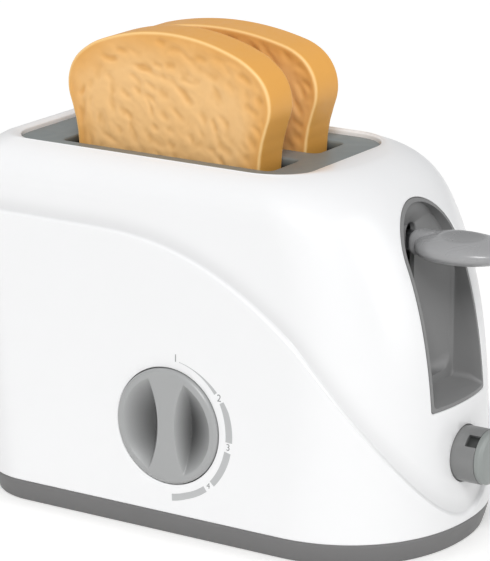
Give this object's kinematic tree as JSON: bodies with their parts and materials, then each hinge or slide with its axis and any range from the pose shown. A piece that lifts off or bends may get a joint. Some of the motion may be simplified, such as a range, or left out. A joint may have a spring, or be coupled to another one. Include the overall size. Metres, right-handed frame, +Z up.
{
  "type": "toy toaster",
  "caption": "Child's pop-up toaster: a moulded housing with a swooping side panel, sprung lever, clicking dial, release button and toy bread slices that lift out of their slots.",
  "frame": {"origin": "centre of the housing's plan on the flat underside of the base, on the surface that the toaster stands on", "axes": "+X points to the end with the lever and the button, +Y to the back, away from the dial, and +Z up"},
  "size_m": [0.216, 0.1127, 0.1905],
  "materials": {
    "white_shell": "smooth white moulded plastic, satin gloss",
    "base_grey": "dark grey moulded plastic, fine matte grain",
    "plate_grey": "cool mid grey moulded plastic, matte",
    "liner_grey": "mid grey moulded plastic, matte",
    "part_grey": "light grey moulded plastic, satin",
    "cap_grey": "light grey moulded plastic, satin",
    "toast": "toast-coloured moulded plastic with an embossed crumb",
    "inner_plastic": "plain inner plastic",
    "steel": "bright drawn steel",
    "spring_steel": "spring wire"
  },
  "bodies": {
    "root": {"housing": "white_shell", "base": "base_grey", "top_plate": "plate_grey", "lever_channel": "liner_grey", "guide_rods": "steel", "lift_springs": "spring_steel", "latch_frame": "inner_plastic", "latch_pin": "steel", "latch_spring": "spring_steel", "dial_bracket": "inner_plastic", "click_spring": "spring_steel", "base_screws": "steel", "plate_screws": "steel", "channel_screws": "steel", "bracket_screws": "steel", "frame_screws": "steel"},
    "lift": {"carriage": "inner_plastic", "lever_arm": "steel", "arm_screws": "steel", "lever_handle": "part_grey", "handle_screw": "steel"},
    "slice_front": {"toast_front": "toast"},
    "slice_rear": {"toast_rear": "toast"},
    "dial": {"dial_knob": "part_grey", "click_wheel": "inner_plastic", "dial_screw": "steel"},
    "button": {"end_button": "part_grey", "button_cap": "cap_grey", "push_rod": "steel", "button_spring": "spring_steel"},
    "latch": {"latch_hook": "part_grey"}
  },
  "joints": [
    {"name": "lift_slide", "type": "slide", "parent": "root", "child": "lift", "axis": [0, 0, -1], "range_m": [0, 0.048], "stiffness_N_per_m": 100, "springref_m": -0.06, "deforming": ["lift_springs"]},
    {"name": "front_slice_lift", "type": "slide", "parent": "lift", "child": "slice_front", "axis": [0, 0, 1], "range_m": [0, 0.1]},
    {"name": "rear_slice_lift", "type": "slide", "parent": "lift", "child": "slice_rear", "axis": [0, 0, 1], "range_m": [0, 0.1]},
    {"name": "dial_turn", "type": "hinge", "parent": "root", "child": "dial", "pos_m": [-0.0017, -0.0555, 0.0442], "axis": [0, 1, 0], "range_deg": [0, 180]},
    {"name": "button_push", "type": "slide", "parent": "root", "child": "button", "axis": [-1, 0, 0], "range_m": [0, 0.004], "stiffness_N_per_m": 300, "springref_m": -0.002},
    {"name": "latch_swing", "type": "hinge", "parent": "root", "child": "latch", "pos_m": [0.053, 0, 0.049], "axis": [0, 1, 0], "range_deg": [0, 18.01]}
  ],
  "couplings": [
    {"joint": "latch_swing", "follows": "button_push", "rad_per_m": 78.54}
  ]
}
